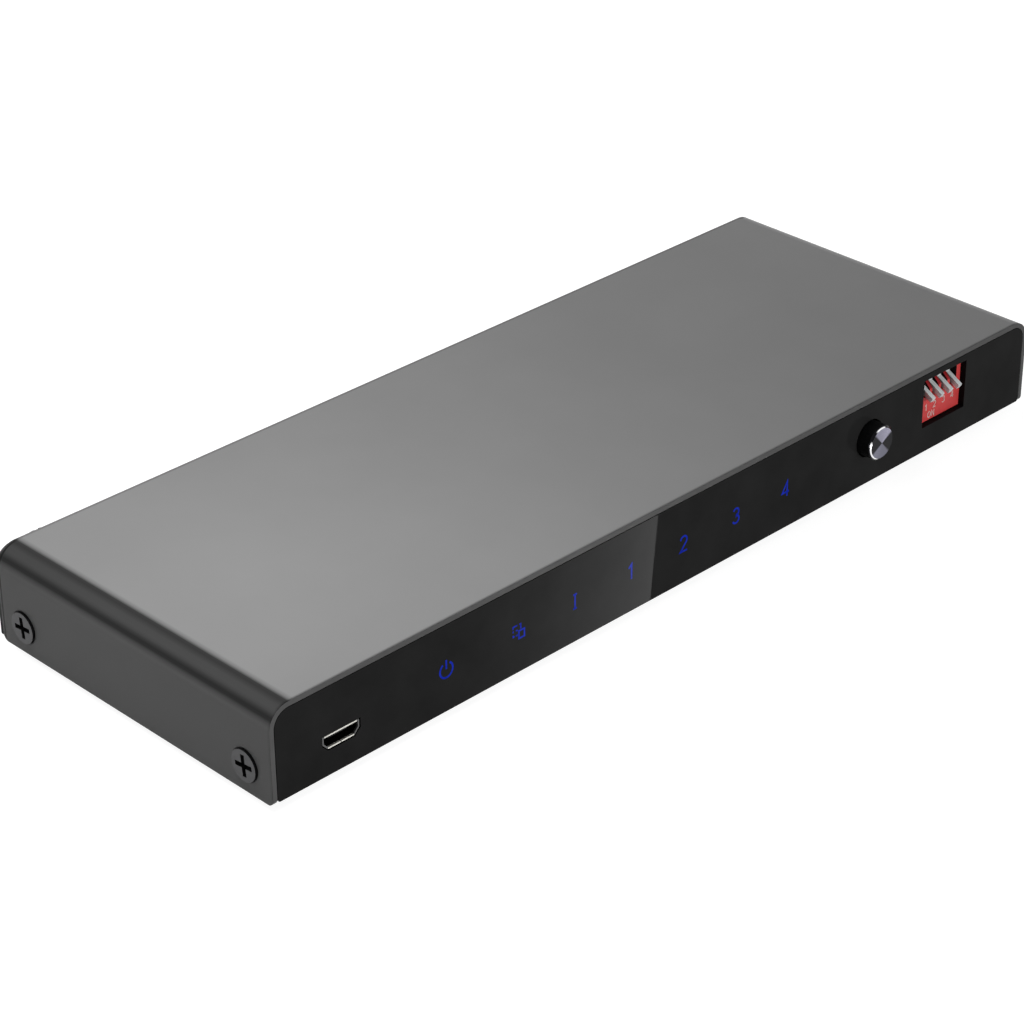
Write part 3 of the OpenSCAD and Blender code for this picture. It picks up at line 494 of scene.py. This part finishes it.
# Painted shade: the sides of the screw heads and their cross slots are near black
SCREW_RIM_SHADE = surface("screw_rim_shade", srgb(20, 20, 21), rough=0.5, specular=0.1, mottle=0.2, patch=0.6)
SCREW_SLOT_SHADE = surface("screw_slot_shade", srgb(14, 14, 15), rough=0.6, specular=0.1, mottle=0.2, patch=0.5)
RUBBER = surface("foot_rubber", srgb(30, 30, 31), rough=0.75, specular=0.25, mottle=0.12, grain=0.12,
                 depth=0.02, edge=0.2)

# Metals
BRASS = surface("standoff_brass", srgb(190, 150, 80), rough=0.32, metal=1.0, mottle=0.1, patch=1.5)
STEEL = surface("screw_bright", srgb(190, 190, 192), rough=0.3, metal=1.0, patch=1.5)
NICKEL = surface("shell_nickel", srgb(205, 203, 198), rough=0.26, metal=1.0, mottle=0.05, patch=2.5,
                 depth=0.002)
GOLD = surface("contact_gold", srgb(214, 172, 92), rough=0.25, metal=1.0, patch=0.8)
USB_GOLD = surface("contact_shaded", srgb(60, 46, 24), rough=0.4, metal=0.5, patch=0.8)
JACK_SPRING = surface("jack_contact", srgb(196, 190, 176), rough=0.3, metal=1.0, patch=1.0)
COLLAR = surface("collar_nickel", grey(150), rough=0.45, metal=0.4, specular=0.2, mottle=0.06, patch=1.5,
                 depth=0.002, edge=0.1)
TIN = surface("pin_tin", srgb(200, 200, 196), rough=0.35, metal=1.0, patch=0.6)
SPRING = surface("spring_steel", srgb(176, 176, 178), rough=0.28, metal=1.0, mottle=0.06, patch=0.8)
CAN = surface("can_metal", srgb(186, 186, 188), rough=0.28, metal=1.0, mottle=0.06, patch=1.2)
SINK = surface("sink_black", srgb(32, 32, 34), rough=0.42, metal=0.4, mottle=0.1, patch=3.0)

# The toggle block, the button and its switch
RED = surface("block_red", srgb(222, 72, 72), rough=0.45, specular=0.2, patch=1.6, grain=0.1, depth=0.003,
              edge=0.1)
# Painted shade: the ribs between the toggle slots are a darker red, the insides of the slots near black
RIB_SHADE = surface("block_rib_shade", srgb(168, 42, 46), rough=0.5, specular=0.1, mottle=0.1, patch=1.0, grain=0.1,
              depth=0.003)
SLOT_SHADE = surface("block_slot_shade", srgb(18, 8, 9), rough=0.6, specular=0.08, mottle=0.2, patch=0.8)
LEVER = surface("lever_white", srgb(244, 250, 250), rough=0.4, specular=0.35, mottle=0.03, patch=1.0,
                grain=0.1, depth=0.002, edge=0.12)
BUTTON_SIDE = surface("button_black", srgb(12, 12, 13), rough=0.4, specular=0.08, mottle=0.15, patch=1.0,
                      depth=0.001)
PLUNGER = surface("plunger_white", srgb(216, 214, 206), rough=0.45, mottle=0.05, patch=1.0)
SWITCH = surface("switch_black", srgb(28, 28, 30), rough=0.5, mottle=0.12, patch=1.5)

# Insulators, the board's parts and the prints
INSULATOR = surface("insulator_black", srgb(20, 20, 21), rough=0.5, specular=0.2, mottle=0.15, patch=1.0)
LED = surface("led_blue", srgb(120, 150, 230), rough=0.3, mottle=0.12, patch=0.8)
GUIDE = surface("guide_blue", srgb(90, 110, 220), rough=0.25, mottle=0.12, patch=1.2)
HOLDER = surface("holder_black", srgb(24, 24, 26), rough=0.6, mottle=0.15, patch=2.0)
CHIP = surface("chip_black", srgb(36, 36, 38), rough=0.55, mottle=0.12, patch=1.5, depth=0.008)
PAD = surface("pad_grey", srgb(150, 152, 156), rough=0.7, mottle=0.1, patch=1.5, depth=0.01)
FERRITE = surface("ferrite", srgb(56, 54, 52), rough=0.6, mottle=0.15, patch=1.0, depth=0.01)
PRINT = surface("print_pale", srgb(226, 206, 200), rough=0.6, specular=0.2, mottle=0.06, patch=0.4)
PRINT_GREY = surface("print_grey", grey(176), rough=0.6, specular=0.2, mottle=0.06, patch=0.6)

DRESS = {
    "top_cover": COVER, "base_tray": TRAY, "front_panel": PANEL, "panel_tape": TAPE,
    "rear_panel": REAR_PLATE, "cover_screws": SCREW, "rubber_feet": RUBBER, "main_board": BOARD,
    "board_standoffs": BRASS, "board_screws": STEEL, "power_jack_body": INSULATOR, "power_jack_pin": COLLAR,
    "power_jack_spring": JACK_SPRING, "power_jack_collar": COLLAR, "power_jack_nut": COLLAR,
    "usb_shell": USB_SHELL, "usb_insulator": INSULATOR, "usb_contacts": USB_GOLD, "dip_body": RED,
    "dip_pins": TIN, "button_cap": BUTTON_SIDE, "switch_plunger": PLUNGER, "button_spring": SPRING,
    "push_switch_body": SWITCH, "push_switch_back": SWITCH, "push_switch_pins": TIN,
    "indicator_leds": LED, "light_guides": GUIDE, "light_holder": HOLDER, "splitter_chip": CHIP,
    "thermal_pad": PAD, "heat_sink": SINK, "output_chips": CHIP, "control_chip": CHIP, "crystal": CAN,
    "power_inductors": FERRITE, "bulk_capacitors": CAN,
}
for number in CHANNELS:
    DRESS["dip_lever_%d" % number] = LEVER
for socket in ["hdmi_input"] + ["hdmi_output_%d" % number for number in CHANNELS]:
    DRESS[socket + "_shell"] = NICKEL
    DRESS[socket + "_insulator"] = INSULATOR
    DRESS[socket + "_contacts"] = GOLD

for name, node in nodes.items():
    node.data.materials.clear()
    node.data.materials.append(DRESS[name])


def dress_faces(name, material, chosen):
    """Gives the faces of a node that chosen(normal, centre in mm) picks a further material."""
    mesh = nodes[name].data
    mesh.materials.append(material)
    index = len(mesh.materials) - 1
    for face in mesh.polygons:
        if chosen(face.normal, face.center / MM):
            face.material_index = index


def cover_end(normal, spot):
    return abs(normal.y) > FACING and (spot.y < front_y + NEAR or spot.y > rear_y - NEAR)


def screw_slot_shade(normal, spot):
    return abs(spot.x) < head_end - SKIN


def screw_rim_shade(normal, spot):
    return case_end - NEAR < abs(spot.x) < head_end - SKIN and abs(normal.x) < ACROSS


def block_rib_shade(normal, spot):
    return spot.y > block_y + NEAR and LEANING < normal.z < FACING


def block_slot_shade(normal, spot):
    return spot.y > block_y + NEAR and abs(normal.z) < LEANING


dress_faces("top_cover", COVER_EDGE, cover_end)
# Painted highlights on the button's rim and face
dress_faces("button_cap", BUTTON_RIM_HIGHLIGHTS, lambda normal, spot: -FACING < normal.y < -ACROSS)
dress_faces("button_cap", SPUN, lambda normal, spot: normal.y <= -FACING)
# Painted shade in the screws' cross slots and on their heads' sides
dress_faces("cover_screws", SCREW_SLOT_SHADE, screw_slot_shade)
dress_faces("cover_screws", SCREW_RIM_SHADE, screw_rim_shade)
# Painted shade on the panel's edges and in its openings
dress_faces("front_panel", PANEL_EDGE_SHADE, lambda normal, spot: normal.y > -LEANING)
dress_faces("rear_panel", COVER_EDGE, lambda normal, spot: abs(normal.y) < LEANING)
# Painted shade on the ribs and inside the slots of the toggle block
dress_faces("dip_body", RIB_SHADE, block_rib_shade)
dress_faces("dip_body", SLOT_SHADE, block_slot_shade)


# Strokes of the marks and prints


def arc(middle_x, middle_y, across, tall, start, end, count=20):
    """Points along part of an ellipse, the angles in degrees."""
    points = []
    for step in range(count + 1):
        turn = math.radians(start + (end - start) * step / count)
        points.append((middle_x + across * math.cos(turn), middle_y + tall * math.sin(turn)))
    return points


# Each sign is drawn in a box one unit high, as lines that a pen would follow
SIGNS = {
    "1": [[(0.06, 0.77), (0.3, 1.0), (0.3, 0.0)]],
    "2": [arc(0.28, 0.73, 0.27, 0.27, 172, -32) + [(0.0, 0.0), (0.57, 0.0)]],
    "3": [arc(0.27, 0.755, 0.235, 0.245, 158, -90, 16) + arc(0.27, 0.255, 0.265, 0.255, 90, -160, 18)],
    "4": [[(0.45, 0.0), (0.45, 1.0), (0.0, 0.29), (0.62, 0.29)]],
    "O": [arc(0.33, 0.5, 0.33, 0.5, 90, 450, 28)],
    "N": [[(0.0, 0.0), (0.0, 1.0), (0.56, 0.0), (0.56, 1.0)]],
    "bar": [[(0.0, 0.0), (0.0, 1.0)], [(-0.14, 0.04), (0.14, 0.04)], [(-0.14, 0.96), (0.14, 0.96)]],
    "power": [arc(0.42, 0.44, 0.42, 0.42, 122, 418, 30), [(0.42, 0.5), (0.42, 1.0)]],
}

# A whole frame in front of a broken one, each in mm from its own lower left corner
BROKEN_FRAME = [
    [(0.0, 1.4), (0.0, 1.86), (0.95, 1.86)],
    [(1.4, 1.86), (1.73, 1.86), (1.73, 0.95)],
    [(0.0, 1.12), (0.0, 0.78)],
    [(0.0, 0.3), (0.0, 0.0), (0.3, 0.0)],
    [(0.6, 0.0), (1.05, 0.0)],
    [(0.6, 1.0), (1.05, 0.88)],
]
WHOLE_FRAME = [[(0.0, 0.0), (1.25, 0.0), (1.25, 1.42), (0.0, 1.42), (0.0, 0.0)]]


def pen_edges(points, half):
    """The two edges of a line drawn with a pen of that half width, mitred at its corners."""
    touching, least_turn = 1e-6, 0.35
    closed = (Vector(points[0]) - Vector(points[-1])).length < touching
    line = [Vector(point) for point in (points[:-1] if closed else points)]
    count = len(line)
    left, right = [], []
    for i, spot in enumerate(line):
        ways = []
        if closed or i > 0:
            ways.append((spot - line[i - 1]).normalized())
        if closed or i < count - 1:
            ways.append((line[(i + 1) % count] - spot).normalized())
        sides = [Vector((-way.y, way.x)) for way in ways]
        lean = sum(sides, Vector((0.0, 0.0))).normalized()
        reach = half / max(least_turn, lean.dot(sides[0]))
        left.append(spot + lean * reach)
        right.append(spot - lean * reach)
    return left, right, closed


def add_mesh(name, shape, material):
    """An object in the scene from a finished shape."""
    mesh = bpy.data.meshes.new(name)
    shape.to_mesh(mesh)
    shape.free()
    mesh.materials.append(material)
    made = bpy.data.objects.new(name, mesh)
    scene.collection.objects.link(made)
    return made


def draw_sign(name, lines, tall, pen, foot, material, facing=FRONT):
    """A sign as a thin raised print on a face to the front or the rear; foot is its lower middle, in mm."""
    across = Vector((-facing, 0.0, 0.0))
    out = Vector((0.0, facing, 0.0))
    ends = [x for points in lines for x, y in points]
    start = Vector(foot) - across * (min(ends) + max(ends)) / 2 * tall
    shape = bmesh.new()

    def row(edge, lift):
        return [shape.verts.new((start + across * p.x + UP * p.y + out * lift) * MM) for p in edge]

    for points in lines:
        left, right, closed = pen_edges([(x * tall, y * tall) for x, y in points], pen / 2)
        low_left, low_right = row(left, -SIGN_SUNK), row(right, -SIGN_SUNK)
        top_left, top_right = row(left, SIGN_PROUD), row(right, SIGN_PROUD)
        count = len(left)
        for i in range(count if closed else count - 1):
            j = (i + 1) % count
            shape.faces.new((top_left[i], top_right[i], top_right[j], top_left[j]))
            shape.faces.new((low_left[i], low_left[j], low_right[j], low_right[i]))
            shape.faces.new((low_left[i], top_left[i], top_left[j], low_left[j]))
            shape.faces.new((low_right[i], low_right[j], top_right[j], top_right[i]))
        if not closed:
            for i in (0, count - 1):
                shape.faces.new((low_left[i], low_right[i], top_right[i], top_left[i]))
    bmesh.ops.recalc_face_normals(shape, faces=shape.faces)
    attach(add_mesh(name, shape, material), "case")


def middle_of(name):
    """The middle of a node from left to right, in mm."""
    low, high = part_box(name)
    return (low.x + high.x) / 2 / MM


marks_foot = marks_z - MARK_TALL / 2
draw_sign("mark_power", SIGNS["power"], POWER_TALL, MARK_PEN, (POWER_X, panel_y, marks_foot), MARK)
draw_sign("mark_bar", SIGNS["bar"], MARK_TALL, BAR_PEN, (BAR_X, panel_y, marks_foot), MARK)
for number, x in zip(CHANNELS, DIGITS_X):
    draw_sign("mark_%d" % number, SIGNS[str(number)], MARK_TALL, MARK_PEN, (x, panel_y, marks_foot), MARK)
foot = (BROKEN_X, panel_y, marks_z - BROKEN_DROP)
draw_sign("mark_frame_back", BROKEN_FRAME, FRAME_UNIT, BROKEN_PEN, foot, MARK)
foot = (WHOLE_X, panel_y, marks_z - WHOLE_DROP)
draw_sign("mark_frame_front", WHOLE_FRAME, FRAME_UNIT, WHOLE_PEN, foot, MARK)

for number in CHANNELS:
    foot = (middle_of("dip_lever_%d" % number), block_y, BLOCK_DIGIT_Z)
    draw_sign("block_digit_%d" % number, SIGNS[str(number)], BLOCK_DIGIT_TALL, BLOCK_PEN, foot, PRINT)
for letter, x in (("O", BLOCK_O_X), ("N", BLOCK_N_X)):
    foot = (block_x + x, block_y, BLOCK_WORD_Z)
    draw_sign("block_on_" + letter.lower(), SIGNS[letter], BLOCK_WORD_TALL, BLOCK_PEN, foot, PRINT)
for number in CHANNELS:
    foot = (middle_of("hdmi_output_%d_shell" % number), plate_y, PORT_DIGIT_Z)
    draw_sign("port_digit_%d" % number, SIGNS[str(number)], PORT_DIGIT_TALL, PORT_DIGIT_PEN, foot,
              PRINT_GREY, facing=REAR)


# Floor and lights


def shown_rays(tree):
    """1 for the rays that show the background: camera, mirror and glass rays."""
    rays = add(tree, "ShaderNodeLightPath").outputs
    seen = sums(tree, "MAXIMUM", rays["Is Camera Ray"], rays["Is Glossy Ray"])
    return sums(tree, "MAXIMUM", seen, rays["Is Transmission Ray"])


def show(tree, shader, made):
    """Puts another shader in place of a material's own one."""
    tree.nodes.remove(shader)
    feed(tree, tree.nodes["Material Output"], Surface=made.outputs[0])


def make_floor():
    """A white floor that takes the part's shadow."""
    material, tree, shader = new_material("floor_white")
    matt = add(tree, "ShaderNodeBsdfDiffuse", Color=(FLOOR_GREY, FLOOR_GREY, FLOOR_GREY, 1.0))
    level = sums(tree, "MULTIPLY", shown_rays(tree), FLOOR_GLOW)
    glow = add(tree, "ShaderNodeEmission", Color=WHITE, Strength=level)
    both = add(tree, "ShaderNodeAddShader")
    plug(tree, matt.outputs[0], both.inputs[0])
    plug(tree, glow.outputs[0], both.inputs[1])
    show(tree, shader, both)
    shape = bmesh.new()
    bmesh.ops.create_circle(shape, cap_ends=True, segments=96, radius=FLOOR_RADIUS * MM)
    return add_mesh("floor", shape, material)


def make_card():
    """A softbox lying in front, which only mirrors show: its light grows to a sharp slanted end."""
    material, tree, shader = new_material("card_light")
    x, y, _ = axes(tree, (0.0, front_y * MM, 0.0))
    along = sums(tree, "ADD", x, sums(tree, "MULTIPLY", y, CARD_LEAN))
    growth = sums(tree, "POWER", rise(tree, along, CARD_LEFT * MM, CARD_RIGHT * MM), CARD_GROWTH)
    clear = add(tree, "ShaderNodeBsdfTransparent")
    glow = add(tree, "ShaderNodeEmission", Color=WHITE, Strength=CARD_LEVEL)
    both = add(tree, "ShaderNodeMixShader", Fac=growth)
    plug(tree, clear.outputs[0], both.inputs[1])
    plug(tree, glow.outputs[0], both.inputs[2])
    show(tree, shader, both)
    shape = bmesh.new()
    corners = ((CARD_LEFT, CARD_NEAR), (CARD_LEFT, CARD_FAR),
               (CARD_RIGHT, CARD_FAR), (CARD_RIGHT, CARD_NEAR))
    spots = [Vector((side + CARD_LEAN * ahead, front_y - ahead, CARD_LIFT)) for side, ahead in corners]
    shape.faces.new([shape.verts.new(spot * MM) for spot in spots])
    made = add_mesh("card", shape, material)
    made.visible_camera = made.visible_diffuse = made.visible_shadow = False
    made.visible_transmission = made.visible_volume_scatter = False
    return made


def make_world():
    """White to look at, and a faint light on the part."""
    world = bpy.data.worlds.new("studio")
    scene.world = world
    world.use_nodes = True
    tree = world.node_tree
    level = span(tree, shown_rays(tree), WORLD_LIGHT, WORLD_SHOWN, 0.0, 1.0)
    feed(tree, tree.nodes["Background"], Color=WHITE, Strength=level)


def soft_lamp(name, spot, target, size, power, mirrored=False):
    """A rectangular lamp, its places and size in metres and its power in watts."""
    data = bpy.data.lights.new(name, "AREA")
    data.shape = "RECTANGLE"
    data.size, data.size_y = size
    data.energy = power
    lamp = bpy.data.objects.new(name, data)
    scene.collection.objects.link(lamp)
    lamp.location = spot
    lamp.rotation_euler = (target - spot).to_track_quat("-Z", "Y").to_euler()
    lamp.visible_camera = False
    lamp.visible_glossy = mirrored


floor = make_floor()
card = make_card()
make_world()
PART = Vector((0.0, 0.0, 0.01))
KEY = Vector((-0.086, -0.014, 0.128))
soft_lamp("key", spot=KEY, target=KEY - UP, size=(0.085, 0.085), power=0.126)
soft_lamp("front", spot=Vector((0.15, -0.9, 0.12)), target=PART, size=(0.35, 0.2), power=3.6, mirrored=True)
soft_lamp("rear", spot=Vector((0.06, 0.42, 0.14)), target=PART, size=(0.3, 0.15), power=2.0)
soft_lamp("right", spot=Vector((0.95, 0.0, 0.14)), target=PART, size=(0.35, 0.2), power=4.6)


# Camera

turn, tilt, roll = [math.radians(angle) for angle in (CAMERA_TURN, CAMERA_RISE, CAMERA_ROLL)]
back = Vector((math.sin(turn) * math.cos(tilt), -math.cos(turn) * math.cos(tilt), math.sin(tilt)))
level_right = (-back).cross(UP).normalized()
level_up = level_right.cross(-back)
camera_right = math.cos(roll) * level_right + math.sin(roll) * level_up
camera_up = -math.sin(roll) * level_right + math.cos(roll) * level_up
lens = bpy.data.cameras.new("camera")
lens.sensor_width = CAMERA_SENSOR
lens.lens = CAMERA_LENS
lens.clip_start = CAMERA_CLIP * MM
camera = bpy.data.objects.new("camera", lens)
scene.collection.objects.link(camera)
turned = Matrix((camera_right, camera_up, back)).transposed().to_4x4()
camera.matrix_world = Matrix.Translation(Vector(CAMERA_EYE) * MM) @ turned
scene.camera = camera
scene.view_settings.view_transform = "Standard"
